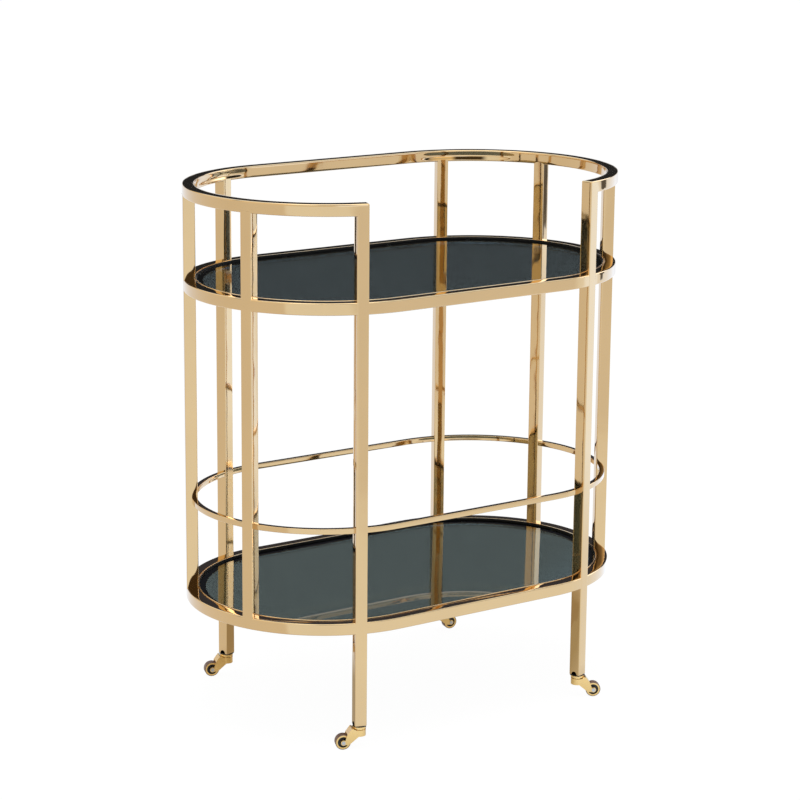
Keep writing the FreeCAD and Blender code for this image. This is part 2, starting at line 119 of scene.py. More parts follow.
# ---------------------------------------------------------------------------------------------
# Materials
# ---------------------------------------------------------------------------------------------
FRAME_GOLD = (0.63, 0.411, 0.178)
CASTER_GOLD = (0.86, 0.565, 0.2)
STEEL = (0.55, 0.54, 0.53)
BARE_STEEL = (0.9, 0.93, 0.95)
RUBBER = (0.26, 0.15, 0.11)
PLASTIC = (0.02, 0.02, 0.02)
PLUG = (0.05, 0.042, 0.036)
SEAL = (0.012, 0.011, 0.01)
CLEAR = (0.6, 0.62, 0.62)
UPPER_GLASS = (0.083, 0.103, 0.105)
# painted light: the lower pane is the same smoked glass as the upper one, tinted lighter and greener for how
# much brighter it looks
LOWER_GLASS_PAINTED_LIGHTER = (0.094, 0.119, 0.109)
LOWER_GLASS_SLOPE = -0.0114
GLASS_IOR = 1.5
COAT_IOR = 1.5
COAT_ROUGHNESS = 0.03
TONE_SPREAD = 0.06
CLOUD_SCALE = 9.0                                      # per metre, as the next two
GRAIN_SCALE = 140.0
WAVE_SCALE = 22.0
METAL_GRAIN = 300                                      # of plain steel, plastic and rubber
TREAD_GRAIN = 400
GRAIN_STRENGTH = 0.2
GRAIN_DEPTH = 0.0003
POLISH_SPREAD = 0.2                                    # of plain surfaces' roughness, to both sides
EDGE_ANGLE = 40                                        # degrees from which an edge is softened
EDGE_SEGMENTS = 2


def new_material(name):
    material = bpy.data.materials.new(name)
    material.use_nodes = True
    tree = material.node_tree
    return material, tree, tree.nodes["Principled BSDF"]


def add_node(tree, kind, **settings):
    """A node with some inputs or settings of its own."""
    node = tree.nodes.new(kind)
    for name, setting in settings.items():
        if name in node.inputs:
            node.inputs[name].default_value = setting
        else:
            setattr(node, name, setting)
    return node


def remap(tree, source, low, high):
    """A value from 0 to 1 as one from low to high."""
    node = add_node(tree, "ShaderNodeMapRange")
    node.inputs["To Min"].default_value = low
    node.inputs["To Max"].default_value = high
    tree.links.new(source, node.inputs["Value"])
    return node.outputs["Result"]


def ramp_of(tree, source, low, high):
    """0 below low, 1 above high."""
    node = add_node(tree, "ShaderNodeMapRange")
    node.inputs["From Min"].default_value = low
    node.inputs["From Max"].default_value = high
    tree.links.new(source, node.inputs["Value"])
    return node.outputs["Result"]


def tint(tree, amount, first, second, blend="MIX"):
    """Two colours mixed by an amount; each is a socket or a plain colour."""
    node = add_node(tree, "ShaderNodeMixRGB", blend_type=blend, Fac=1.0)
    if amount is not None:
        tree.links.new(amount, node.inputs["Fac"])
    for socket, colour in ((node.inputs["Color1"], first), (node.inputs["Color2"], second)):
        if isinstance(colour, tuple):
            socket.default_value = (*colour, 1)
        else:
            tree.links.new(colour, socket)
    return node.outputs["Color"]


def calculate(tree, operation, *terms):
    """An operation on one or two terms; each is a socket or a number."""
    node = add_node(tree, "ShaderNodeMath", operation=operation)
    for socket, term in zip(node.inputs, terms):
        if isinstance(term, float):
            socket.default_value = term
        else:
            tree.links.new(term, socket)
    return node.outputs[0]


def either(tree, *sources):
    """The largest of some values."""
    total = sources[0]
    for source in sources[1:]:
        total = calculate(tree, "MAXIMUM", total, source)
    return total


def mix_of(tree, amount, first, second):
    """Two shaders mixed by an amount."""
    node = add_node(tree, "ShaderNodeMixShader")
    tree.links.new(amount, node.inputs["Fac"])
    tree.links.new(first, node.inputs[1])
    tree.links.new(second, node.inputs[2])
    return node.outputs["Shader"]


def gold(name, colour, roughness, spread, wobble):
    """Polished gold plating: slow changes of tone, fine ones of polish (spread, to both sides of
    roughness), and the slight waviness of a hand-polished tube (wobble, its depth)."""
    material, tree, shader = new_material(name)
    shader.inputs["Metallic"].default_value = 1.0
    shader.inputs["Coat Weight"].default_value = 1.0
    shader.inputs["Coat Roughness"].default_value = COAT_ROUGHNESS
    shader.inputs["Coat IOR"].default_value = COAT_IOR
    place = add_node(tree, "ShaderNodeTexCoord").outputs["Object"]
    cloud = add_node(tree, "ShaderNodeTexNoise", Scale=CLOUD_SCALE, Detail=3.0)
    tree.links.new(place, cloud.inputs["Vector"])
    darker = tuple(part * (1 - TONE_SPREAD) for part in colour)
    lighter = tuple(min(1.0, part * (1 + TONE_SPREAD)) for part in colour)
    tree.links.new(tint(tree, cloud.outputs["Fac"], darker, lighter), shader.inputs["Base Color"])
    grain = add_node(tree, "ShaderNodeTexNoise", Scale=GRAIN_SCALE, Detail=4.0)
    tree.links.new(place, grain.inputs["Vector"])
    tree.links.new(remap(tree, grain.outputs["Fac"], roughness - spread, roughness + spread),
                   shader.inputs["Roughness"])
    bump = add_node(tree, "ShaderNodeBump", Strength=1.0, Distance=wobble)
    wave = add_node(tree, "ShaderNodeTexNoise", Scale=WAVE_SCALE, Detail=1.5, Roughness=0.4)
    tree.links.new(place, wave.inputs["Vector"])
    tree.links.new(wave.outputs["Fac"], bump.inputs["Height"])
    tree.links.new(bump.outputs["Normal"], shader.inputs["Normal"])
    return material


def tinted_glass(name, colour, slope):
    """Smoked glass. slope: how far it leans down towards the rear, as a tangent; below 0 towards
    the front."""
    material, tree, shader = new_material(name)
    shader.inputs["Base Color"].default_value = (*colour, 1)
    shader.inputs["Transmission Weight"].default_value = 1.0
    shader.inputs["IOR"].default_value = GLASS_IOR
    shader.inputs["Roughness"].default_value = 0.0
    if slope:
        lean = add_node(tree, "ShaderNodeVectorMath", operation="ADD")
        tree.links.new(add_node(tree, "ShaderNodeNewGeometry").outputs["Normal"], lean.inputs[0])
        lean.inputs[1].default_value = (0, slope, 0)
        tree.links.new(lean.outputs["Vector"], shader.inputs["Normal"])
    return material


def plain(name, colour, roughness, grain_scale, metallic=0.0):
    """A simple surface with a fine grain in its polish and relief."""
    material, tree, shader = new_material(name)
    shader.inputs["Base Color"].default_value = (*colour, 1)
    shader.inputs["Metallic"].default_value = metallic
    place = add_node(tree, "ShaderNodeTexCoord").outputs["Object"]
    grain = add_node(tree, "ShaderNodeTexNoise", Scale=grain_scale, Detail=3.0)
    tree.links.new(place, grain.inputs["Vector"])
    smoothest, roughest = roughness * (1 - POLISH_SPREAD), roughness * (1 + POLISH_SPREAD)
    tree.links.new(remap(tree, grain.outputs["Fac"], smoothest, roughest), shader.inputs["Roughness"])
    bump = add_node(tree, "ShaderNodeBump", Strength=GRAIN_STRENGTH, Distance=GRAIN_DEPTH)
    tree.links.new(grain.outputs["Fac"], bump.inputs["Height"])
    tree.links.new(bump.outputs["Normal"], shader.inputs["Normal"])
    return material


def dress(name, material):
    """Give a CAD node its material."""
    slots = nodes[name].data.materials
    slots.clear()
    slots.append(material)


def soften(name, width):
    """Round a CAD node's sharp edges a little."""
    bevel = nodes[name].modifiers.new("edges", "BEVEL")
    bevel.width = width
    bevel.segments = EDGE_SEGMENTS
    bevel.limit_method = "ANGLE"
    bevel.angle_limit = math.radians(EDGE_ANGLE)
    bevel.harden_normals = True


# ---------------------------------------------------------------------------------------------
# Mesh tools. An outline is a list of (out, up, normal out, normal up); a ring is a list of (place, normal).
# ---------------------------------------------------------------------------------------------
FINEST = 1e6                                           # steps per metre: points in the same step are one
ARC_STEP = 2.5                                         # degrees between the rings of a bend
# How far round a bend, in degrees from its nearer end, the hollow of its inner wall comes and goes.
HOLLOW_COMES = (2, 12)
HOLLOW_GOES = (38, 58)
CORNER_STEPS = 6                                       # round a tube's edge
ROUND_STEPS = 5                                        # round any other
# Where a tube's side has its points, from corner to corner.
SIDE_STEPS = [-1.0, -0.94, -0.86, -0.75, -0.6, -0.4, -0.2, 0.0, 0.2, 0.4, 0.6, 0.75, 0.86, 0.94]


def tube_profile(half, radius, bulge):
    """A square tube's outline with round corners and sides that fall off a little towards them."""
    flat = half - radius
    lean = math.atan(4 * bulge / flat)
    bend = (half - bulge - flat) / (math.cos(lean) - math.sin(lean))
    centre = flat - bend * math.sin(lean)
    quarter = []
    for share in SIDE_STEPS:
        slope = 4 * bulge * share ** 3 / flat
        size = math.hypot(1, slope)
        quarter.append((half - bulge * share ** 4, flat * share, 1 / size, slope / size))
    for step in range(CORNER_STEPS + 1):
        angle = lean + (math.pi / 2 - 2 * lean) * step / CORNER_STEPS
        quarter.append((centre + bend * math.cos(angle), centre + bend * math.sin(angle),
                        math.cos(angle), math.sin(angle)))
    outline = []
    for turn in range(4):
        cosine, sine = round(math.cos(turn * math.pi / 2)), round(math.sin(turn * math.pi / 2))
        for out, up, normal_out, normal_up in quarter[:-1]:
            outline.append((out * cosine - up * sine, out * sine + up * cosine,
                            normal_out * cosine - normal_up * sine, normal_out * sine + normal_up * cosine))
    return outline


def round_outline(corners):
    """An outline with rounded corners, anticlockwise, from (out, up, radius) corners."""
    outline = []
    count = len(corners)
    for number, (out, up, radius) in enumerate(corners):
        here = Vector((out, up))
        before = (Vector(corners[number - 1][:2]) - here).normalized()
        after = (Vector(corners[(number + 1) % count][:2]) - here).normalized()
        half_angle = before.angle(after) / 2
        convex = before.x * after.y - before.y * after.x < 0
        reach = radius / math.tan(half_angle)
        centre = here + (before + after).normalized() * radius / math.sin(half_angle)
        first, last = here + before * reach - centre, here + after * reach - centre
        start, sweep = math.atan2(first.y, first.x), first.angle(last)
        turn = sweep if convex else -sweep
        for step in range(ROUND_STEPS + 1):
            angle = start + turn * step / ROUND_STEPS
            x, y = math.cos(angle), math.sin(angle)
            side = 1 if convex else -1
            outline.append((centre.x + radius * x, centre.y + radius * y, side * x, side * y))
    return outline


def loft(name, rings, closed=False, sheet=False):
    """A mesh through rings, shaded by their normals and facing their way. sheet: each ring is open."""
    size = len(rings[0])
    places, normals, known, number_of = [], [], {}, []
    for ring in rings:
        for place, normal in ring:
            key = tuple(round(part * FINEST) for part in place)
            if key not in known:
                known[key] = len(places)
                places.append(place)
                normals.append(Vector((0, 0, 0)))
            normals[known[key]] += normal.normalized()
            number_of.append(known[key])
    faces, facing = [], 0.0
    for number in range(len(rings) if closed else len(rings) - 1):
        first, second = number * size, (number + 1) % len(rings) * size
        for step in range(size - 1 if sheet else size):
            following = (step + 1) % size
            face = [number_of[at] for at in
                    (first + step, first + following, second + following, second + step)]
            face = [at for place, at in enumerate(face) if at != face[place - 1]]
            if len(face) > 2:
                faces.append(face)
                across = (places[face[1]] - places[face[0]]).cross(places[face[2]] - places[face[0]])
                facing += across.dot(normals[face[0]])
    if facing < 0:
        faces = [face[::-1] for face in faces]
    mesh = bpy.data.meshes.new(name)
    mesh.from_pydata(places, [], faces)
    mesh.polygons.foreach_set("use_smooth", [True] * len(faces))
    mesh.validate(verbose=False)
    mesh.normals_split_custom_set_from_vertices([normal.normalized() for normal in normals])
    piece = bpy.data.objects.new(name, mesh)
    bpy.context.scene.collection.objects.link(piece)
    return piece


def station(place, out, up, outline):
    """A ring: the outline set at a place, across two directions."""
    return [(place + out * o + up * u, out * no + up * nu) for o, u, no, nu in outline]


def sunk(outline, depth, angle):
    """An outline with a hollow along the middle of its inner wall, as a bend leaves it. angle: how
    far round the bend, in degrees."""
    from_end = min(angle, 180 - angle)
    share = ease(from_end, *HOLLOW_COMES) * (1 - ease(from_end, *HOLLOW_GOES))
    if not depth * share:
        return outline
    half = max(out for out, _, _, _ in outline)
    bent = []
    for out, up, normal_out, normal_up in outline:
        if normal_out < -0.5:
            out += depth * share * (1 + math.cos(math.pi * up / half)) / 2
            normal_up -= depth * share * math.pi / 2 / half * math.sin(math.pi * up / half)
        bent.append((out, up, normal_out, normal_up))
    return bent


def ease(amount, low, high):
    """0 below low, 1 above high, smooth between."""
    share = max(0.0, min(1.0, (amount - low) / (high - low)))
    return share * share * (3 - 2 * share)


def oval_stations(half_straight, radius, height, outline, reach=0.0, sink=0.0):
    """Rings round the oval, anticlockwise from above, from the front right round the back to the
    front left. reach: the degrees left out at the start and at the end. sink: how deep the bends'
    inner wall is hollow."""
    rings = []
    steps = round(180 / ARC_STEP)
    for way, start in ((1, -90), (-1, 90)):
        for number in range(steps + 1):
            turn = 180 * number / steps
            angle = math.radians(start + turn)
            if reach and not -90 + reach <= math.degrees(angle) <= 270 - reach:
                continue
            out = Vector((math.cos(angle), math.sin(angle), 0))
            rings.append(station(Vector((way * half_straight, 0, height)) + out * radius, out, UP,
                                 sunk(outline, sink, turn)))
    return rings


# ---------------------------------------------------------------------------------------------
# Studio
# ---------------------------------------------------------------------------------------------
# Colours of the floor and the flats, as times white. The floor's ones are painted light: its glow, seen in
# metal and glass, has pools of cool and blue light by compass direction.
NEUTRAL = (1.0, 1.03, 1.08)
REAR_WHITE = (0.97, 0.99, 1.02)
SOFT_COOL = (1.02, 1.09, 1.22)
COOL = (1.17, 1.32, 1.55)
BLUE = (1.35, 1.65, 2.25)
BLUE_GLOW = (1.3, 1.5, 2.0)
CEILING = (1.15, 1.35, 1.65)
COOL_FLAT = (1.05, 1.2, 1.4)
WARM = (1.35, 1.1, 0.62)
OLIVE = (1.15, 1.0, 0.62)
PALE = (0.9, 0.85, 0.7)
GREY = (0.6, 0.65, 0.75)
DIM = (0.08, 0.065, 0.045)
SMOKE = (0.1, 0.1, 0.1)
BACK = (0.045, 0.045, 0.055)
COAL = (0.03, 0.03, 0.03)
BLACK = (0.02, 0.02, 0.02)
LAMP_LOW = (3.0, 3.2, 3.6)
LAMP_HIGH = (4.2, 4.3, 4.4)
LAMP_HIGH_DIM = (4.0, 4.1, 4.2)
LAMP_EDGE = (2.6, 2.8, 3.1)
LAMP_RIGHT = (2.6, 2.9, 3.3)
ON = (1, 1, 1)
OFF = (0, 0, 0)

FLOOR_SIZE = 60
FLOOR_WHITE = (0.86, 0.86, 0.86)
FLOOR_GLOW = 0.9                                       # the rest is lit, which keeps a faint shadow
FLOOR_WHITENESS = 1.07
FLOOR_NEAR = (1.2, 2.0)                                # how far out the near floor turns into the far one
# painted shadow: the floor's glow under the cart, as times its colour, darker and warmer
UNDER_CART_PAINTED_SHADE = (0.5, 0.42, 0.28)
UNDER_CART_SHADE_EDGE = (0.15, 0.36)                         # from the middle line of the cart's plan
# painted reflection: how far out, in metres, the dark pole painted into the floor's glow starts and widens
PAINTED_POLE_FROM = (3.95, 4.25)
PAINTED_POLE_WIDENS = (4.95, 5.1)

# Heights in the world, as the sine of the angle over the horizon.
SKIRTING_TOP = (0.085, 0.125)
LOW_FLATS_TOP = (0.235, 0.25)
HIGH_FLATS_TOP = (0.42, 0.55)
SOFT_LIGHT = 0.5                                       # of the world, on surfaces that don't mirror it


def round_ramp(tree, vector, stops):
    """A colour by compass direction: stops are (degrees from +X, colour), from -180 to 180."""
    turn = add_node(tree, "ShaderNodeTexGradient", gradient_type="RADIAL")
    tree.links.new(vector, turn.inputs["Vector"])
    ramp = add_node(tree, "ShaderNodeValToRGB")
    elements = ramp.color_ramp.elements
    for number, (degrees, colour) in enumerate(stops):
        if number < 2:
            element = elements[number]
            element.position = (degrees + 180) / 360
        else:
            element = elements.new((degrees + 180) / 360)
        element.color = (*colour, 1)
    tree.links.new(turn.outputs["Color"], ramp.inputs["Fac"])
    return ramp.outputs["Color"]


def band_of(tree, place, start, full, fading, end):
    """1 between two compass directions and 0 elsewhere, with soft edges."""
    return round_ramp(tree, place, [
        (-180, OFF), (180, OFF), (start, OFF), (full, ON), (fading, ON), (end, OFF)])


def painted_dark_pole(tree, place, reach, colour):
    """A painted reflection: a dark band in the floor's glow far off on the right, wider where it is farther,
    mirrored like a dark upright standing there.
    """
    narrow = band_of(tree, place, -6.7, -6.3, -2.4, -2.0)
    wide = band_of(tree, place, -7.4, -7.0, 0.9, 1.5)
    shape = tint(tree, ramp_of(tree, reach, *PAINTED_POLE_WIDENS), narrow, wide)
    away = tint(tree, ramp_of(tree, reach, *PAINTED_POLE_FROM), OFF, shape)
    return tint(tree, away, colour, SMOKE)


def painted_under_cart_shade(tree, place, colour):
    """Painted shadow: the floor's glow in metal and glass is darker and warmer under the shelves and just
    round them.
    """
    split = add_node(tree, "ShaderNodeSeparateXYZ")
    tree.links.new(place, split.inputs["Vector"])
    past = calculate(tree, "SUBTRACT", calculate(tree, "ABSOLUTE", split.outputs["X"]), HALF_STRAIGHT)
    spot = add_node(tree, "ShaderNodeCombineXYZ")
    tree.links.new(calculate(tree, "MAXIMUM", past, 0.0), spot.inputs["X"])
    tree.links.new(split.outputs["Y"], spot.inputs["Y"])
    shade = tint(tree, None, colour, UNDER_CART_PAINTED_SHADE, "MULTIPLY")
    return tint(tree, ramp_of(tree, length_of(tree, spot.outputs["Vector"]), *UNDER_CART_SHADE_EDGE), shade, colour)


def length_of(tree, vector):
    """How far a place is from the origin."""
    node = add_node(tree, "ShaderNodeVectorMath", operation="LENGTH")
    tree.links.new(vector, node.inputs[0])
    return node.outputs["Value"]


def make_floor():
    """A pale floor that looks white to the camera and through glass, and keeps a faint shadow. Mirrored in
    metal and glass it glows with painted light instead: pools of cool and blue light by compass direction, a
    painted shadow under the cart and a painted dark pole far off.
    """
    bpy.ops.mesh.primitive_plane_add(size=FLOOR_SIZE)
    floor = bpy.context.object
    floor.name = "floor"
    material, tree, shader = new_material("floor")
    shader.inputs["Base Color"].default_value = (*FLOOR_WHITE, 1)
    shader.inputs["Roughness"].default_value = 0.9
    path = add_node(tree, "ShaderNodeLightPath")
    place = add_node(tree, "ShaderNodeTexCoord").outputs["Object"]
    # Painted light: in metal and glass the floor glows in tones by compass direction, cooler and brighter
    # than white in some, bluest in a band far off.
    far = round_ramp(tree, place, [
        (-180, NEUTRAL), (180, NEUTRAL), (-155, NEUTRAL), (-152.5, COOL), (-106, COOL),
        (-98, SOFT_COOL), (-40, SOFT_COOL), (-33, COOL), (-30, COOL),
        (-27, BLUE), (-13, BLUE), (-10, COOL), (24, COOL), (34, NEUTRAL), (156, REAR_WHITE)])
    near = round_ramp(tree, place, [
        (-180, NEUTRAL), (180, NEUTRAL), (-155, NEUTRAL), (-152, COOL), (24, COOL), (34, NEUTRAL)])
    reach = length_of(tree, place)
    tone = tint(tree, ramp_of(tree, reach, *FLOOR_NEAR), near, far)
    # the painted light that metal and glass mirror, with the painted shadow and the painted pole in it
    painted_glow = add_node(tree, "ShaderNodeEmission", Strength=1.0)
    tree.links.new(painted_under_cart_shade(tree, place, painted_dark_pole(tree, place, reach, tone)), painted_glow.inputs["Color"])
    white = add_node(tree, "ShaderNodeEmission", Color=(1, 1, 1, 1), Strength=FLOOR_WHITENESS)
    mirrored = mix_of(tree, path.outputs["Is Glossy Ray"], white.outputs["Emission"], painted_glow.outputs["Emission"])
    seen = either(tree, path.outputs["Is Camera Ray"], path.outputs["Is Glossy Ray"],
                  path.outputs["Is Transmission Ray"])
    mix = mix_of(tree, calculate(tree, "MULTIPLY", seen, FLOOR_GLOW), shader.outputs["BSDF"], mirrored)
    tree.links.new(mix, tree.nodes["Material Output"].inputs["Surface"])
    floor.data.materials.append(material)


def make_world():
    """White for the camera. In metal and glass: a white skirting, then flats round the set (warm
    ones, a bright one on the right, a black one behind the cart), lower and upper ones apart, and a
    pale ceiling over them."""
    world = bpy.data.worlds.new("studio")
    bpy.context.scene.world = world
    world.use_nodes = True
    tree = world.node_tree
    tree.nodes.clear()
    place = add_node(tree, "ShaderNodeTexCoord").outputs["Generated"]
    split = add_node(tree, "ShaderNodeSeparateXYZ")
    tree.links.new(place, split.inputs["Vector"])
    up = split.outputs["Z"]
    low = round_ramp(tree, place, [
        (-180, WARM), (180, WARM), (-152, WARM), (-142, COOL_FLAT), (-132, COOL_FLAT), (-126, DIM),
        (-102, DIM), (-97, WARM), (-84, WARM), (-76, COAL), (-24, COAL),
        (-20, LAMP_LOW), (12, LAMP_RIGHT), (14, SMOKE), (22, BLACK), (96, BLACK),
        (100, OLIVE), (157, OLIVE), (159, BLACK), (165, BLACK), (167, WARM)])
    high = round_ramp(tree, place, [
        (-180, WARM), (180, WARM), (-152, WARM), (-142, COOL_FLAT), (-132, COOL_FLAT), (-126, DIM),
        (-102, DIM), (-97, PALE), (-32, GREY), (-28, LAMP_HIGH), (-16, LAMP_HIGH_DIM),
        (-10, LAMP_EDGE), (12, LAMP_RIGHT), (14, SMOKE), (22, BACK), (96, BACK),
        (100, OLIVE), (157, OLIVE), (159, BLACK), (165, BLACK), (167, WARM)])
    skirting = round_ramp(tree, place, [
        (-180, ON), (180, ON), (-116, ON), (-110, BLUE_GLOW), (-30, BLUE_GLOW), (-24, ON)])
    flats = tint(tree, ramp_of(tree, up, *LOW_FLATS_TOP), low, high)
    wall = tint(tree, ramp_of(tree, up, *SKIRTING_TOP), skirting, flats)
    room = tint(tree, ramp_of(tree, up, *HIGH_FLATS_TOP), wall, CEILING)
    path = add_node(tree, "ShaderNodeLightPath")
    seen = add_node(tree, "ShaderNodeBackground", Strength=1.0)
    tree.links.new(room, seen.inputs["Color"])
    white = add_node(tree, "ShaderNodeBackground", Color=(1, 1, 1, 1), Strength=1.0)
    soft = add_node(tree, "ShaderNodeBackground", Color=(1, 1, 1, 1), Strength=SOFT_LIGHT)
    sharp = either(tree, path.outputs["Is Glossy Ray"], path.outputs["Is Transmission Ray"])
    lighting = mix_of(tree, sharp, soft.outputs["Background"], seen.outputs["Background"])
    output = add_node(tree, "ShaderNodeOutputWorld")
    tree.links.new(mix_of(tree, path.outputs["Is Camera Ray"], lighting, white.outputs["Background"]),
                   output.inputs["Surface"])


def make_softbox(name, spot, aim, width, height, brightness):
    """A soft light, as bright as that many times white."""
    data = bpy.data.lights.new(name, "AREA")
    data.shape = "RECTANGLE"
    data.size, data.size_y = width, height
    data.energy = brightness * math.pi * width * height
    lamp = bpy.data.objects.new(name, data)
    bpy.context.scene.collection.objects.link(lamp)
    lamp.location = spot
    lamp.rotation_mode = "QUATERNION"
    lamp.rotation_quaternion = (Vector(aim) - Vector(spot)).to_track_quat("-Z", "Y")
    lamp.visible_camera = False


def make_studio():
    bpy.context.scene.view_settings.view_transform = "Standard"
    make_floor()
    make_world()
    make_softbox("overhead", spot=(-0.3, -0.5, 3.4), aim=(0, 0, 0.5), width=2.4, height=2.4, brightness=1.6)


# ---------------------------------------------------------------------------------------------
# The cart
# ---------------------------------------------------------------------------------------------
# The frame's tubes
WALL = 0.0015
CORNER = 0.0013                                        # the tubes' outer edges
RING_CORNER = 0.0019
GALLERY_CORNER = 0.0011
BORE_CORNER = 0.0008
CROWN = 0.00016                                        # how much a side falls off towards its edges
RAIL_CROWN = 0.0003
BORE_CROWN = 0.00001
THICK_BAR = 0.006                                      # half the width from which a bar has the whole crown
RAIL_SINK = 0.0018                                     # hollows in the inner wall of the bends
GALLERY_SINK = 0.0007
UPRIGHT_SHY = 0.00003                                  # smaller than the solid, so faces don't coincide
RING_SHY = 0.00006
UPRIGHT_SINK = 0.0036                                  # how far an upright goes into the tubes it meets
END_ROUND = 0.0005                                     # a leg's open end: its outer edge
END_EDGE_CORNER = 0.001
END_INSET = 0.0004
END_STEPS = (0.25, 0.6, 1.0)
BORE_DEPTH = 0.027
LEG_START = 0.002                                      # where a leg's plain length starts, over its end
LEG_MIDDLE = 0.4
MITRE_ROUND = 0.0026
MITRE_STEPS = 8
MITRE_CLEAR = 0.002                                    # from the mitre to the leg's last plain ring
MITRE_TURN = 3.2                                       # degrees from the leg to the rail's first ring
# The angle ring, the black strip and the pane
SEAT_WALL = 0.002
SEAT_LEDGE = 0.0135
SEAT_EDGE = 0.0008
SEAT_FOOT_EDGE = 0.0002
LIP_ROUND = 0.00098
UPPER_LIP = 0.0001                                     # how far the lip stands over the ring's top
LOWER_LIP = 0.0005
SEAT_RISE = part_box("upper_glass_seat")[1].z - RING_HIGH
SEAL_OUTER = 0.0006                                    # the strip, out from the angle's inner face
SEAL_INNER = 0.0009                                    # and in from it
SEAL_DROP = 0.0002
SEAL_EDGE = 0.0001
SEAL_TOP_EDGE = 0.0003
LINING_IN = 0.00015                                    # the lining, out from the ring's inner wall
LINING_BACK = 0.0004
LINING_LIFT = 0.0021
ARRIS = 0.0006
ARRIS_STEPS = 5
# The casters
RECESS_OUT = 0.00915
RECESS_IN = 0.00465
RECESS_STEPS = 48
CUP_FACE = 0.0056                                      # along the axle: the cup's open side,
CUP_BEND = 0.0034                                      # where its walls bend,
CUP_FLOOR = 0.0030                                     # its floor
CUP_BACK = 0.0024                                      # and its back, inside the wheel
CUP_WALL = 0.0002
CUP_BEND_IN = 0.0001
CUP_FLOOR_IN = 0.0006
TAB_STEPS = 20
TAB_STRETCH = 1.1                                      # taller than half a circle
TAB_BED = 0.0004                                       # how far a tab starts inside the leg's side
TAB_SHAPE = ((-0.0004, 0.0), (-0.0004, 0.0056), (0.0005, 0.0055), (0.0008, 0.0051), (0.0009, 0.004),
             (0.0009, 0.0))                            # (out of the side, radius)
TAB_FACE = 0.0045                                      # narrower rings face straight out
TAB_EDGE = 0.0004                                      # rings less far out than this face sideways,
TAB_EDGE_TILT = 0.6                                    # and those between the two face that far sideways
BEVEL = 0.0005
SMALL_BEVEL = 0.0003


def stand_of(name):
    """Where an upright stands, its outward direction and its lowest and highest points."""
    low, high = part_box(name)
    place = Vector(((low.x + high.x) / 2, (low.y + high.y) / 2, 0))
    middle = Vector((math.copysign(HALF_STRAIGHT, place.x), 0, 0))
    return place, (place - middle).normalized(), low.z, high.z


def finish_piece(piece, material, body, slot, *replaced):
    """Dress a new piece, hang it on the body it rides on and hide the CAD nodes it stands for."""
    piece.data.materials.append(material)
    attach(piece, body)
    if replaced:
        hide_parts(*replaced)


def make_ring(name, oval, material, slot, corner, shy, sink=0.0):
    """A closed oval tube in place of its spans."""
    half_straight, outer, low, high = oval_of(spans_of(oval))
    half = (high - low) / 2
    outline = tube_profile(half - shy, corner, CROWN if half > THICK_BAR else CROWN / 2)
    rings = oval_stations(half_straight, outer - half, (low + high) / 2, outline, sink=sink)
    finish_piece(loft(name, rings, closed=True), material, "frame", slot, *spans_of(oval))


def open_end(place, out, across, half):
    """Rings for a tube's open lower end, from deep inside the bore out to the round outer edge."""
    bore = tube_profile(half - WALL, BORE_CORNER, BORE_CROWN)
    edge = tube_profile(half - WALL / 2, END_EDGE_CORNER, CROWN)
    outer = tube_profile(half, CORNER, CROWN)
    rings = [[(place + out * o + across * u + UP * depth, -(out * no + across * nu)) for o, u, no, nu in bore]
             for depth in (BORE_DEPTH, END_INSET)]
    rings.append([(place + out * o + across * u, -UP) for o, u, _, _ in edge])
    for share in END_STEPS:
        side, down = math.sin(share * math.pi / 2), math.cos(share * math.pi / 2)
        shrink, rise = END_ROUND * (1 - side), END_ROUND * (1 - down)
        rings.append([(place + out * (o - shrink * no) + across * (u - shrink * nu) + UP * rise,
                       (out * no + across * nu) * side - UP * down) for o, u, no, nu in outer])
    return rings


def make_upright(name, material):
    """A straight square tube, set a little into the rail above it and, for a post, the ring below."""
    place, out, low, high = stand_of(name)
    across = UP.cross(out)
    half = TUBE / 2 - UPRIGHT_SHY
    outline = tube_profile(half, CORNER, CROWN)
    foot = place + UP * low
    if name.endswith("leg"):
        rings = open_end(foot, out, across, half)
    else:
        rings = [station(foot - UP * UPRIGHT_SINK, out, across, outline)]
    for height in (low + LEG_START, (low + high) / 2, high + UPRIGHT_SINK):
        rings.append(station(place + UP * height, out, across, outline))
    finish_piece(loft(name + "_tube", rings), material, "frame", "frame_gold", name)


def make_front_frame(material):
    """The top rail with the two front legs, joined by round mitres."""
    half = TUBE / 2
    keep = half - MITRE_ROUND
    outline = tube_profile(half, CORNER, CROWN)
    rail_outline = tube_profile(half, RING_CORNER, RAIL_CROWN)
    _, _, rail_low, rail_high = oval_of(["top_rail"])
    middle = (rail_low + rail_high) / 2
    legs = []
    for name, way in (("front_right_leg", 1), ("front_left_leg", -1)):
        place, out, low, _ = stand_of(name)
        along = UP.cross(out) * way                    # along the rail, away from the leg
        rings = open_end(place + UP * low, out, -along, half)
        for height in (low + LEG_START, LEG_MIDDLE, middle - half - MITRE_CLEAR):
            rings.append(station(place + UP * height, out, -along, outline))
        corner = place + UP * middle
        for step in range(MITRE_STEPS + 1):
            share = step / MITRE_STEPS
            angle = math.pi / 2 * step / MITRE_STEPS
            turned = -along * math.cos(angle) + UP * math.sin(angle)
            ring = []
            for leg_point, rail_point in zip(outline, rail_outline):
                o, u, no, nu = [a + (b - a) * share for a, b in zip(leg_point, rail_point)]
                spot = corner + out * o + (UP - along) * min(u, keep)
                if u > keep:
                    spot += turned * (u - keep)
                ring.append((spot, out * no + turned * nu))
            rings.append(ring)
        legs.append(rings)
    leg_angle = math.degrees(math.asin(abs(out.x)))
    rail = oval_stations(HALF_STRAIGHT, OUTER_RADIUS - half, middle, rail_outline,
                         reach=leg_angle + MITRE_TURN, sink=RAIL_SINK)
    finish_piece(loft("front_frame", legs[0] + rail + legs[1][::-1]), material, "frame", "frame_gold",
                 "front_left_leg", "top_rail", "front_right_leg")


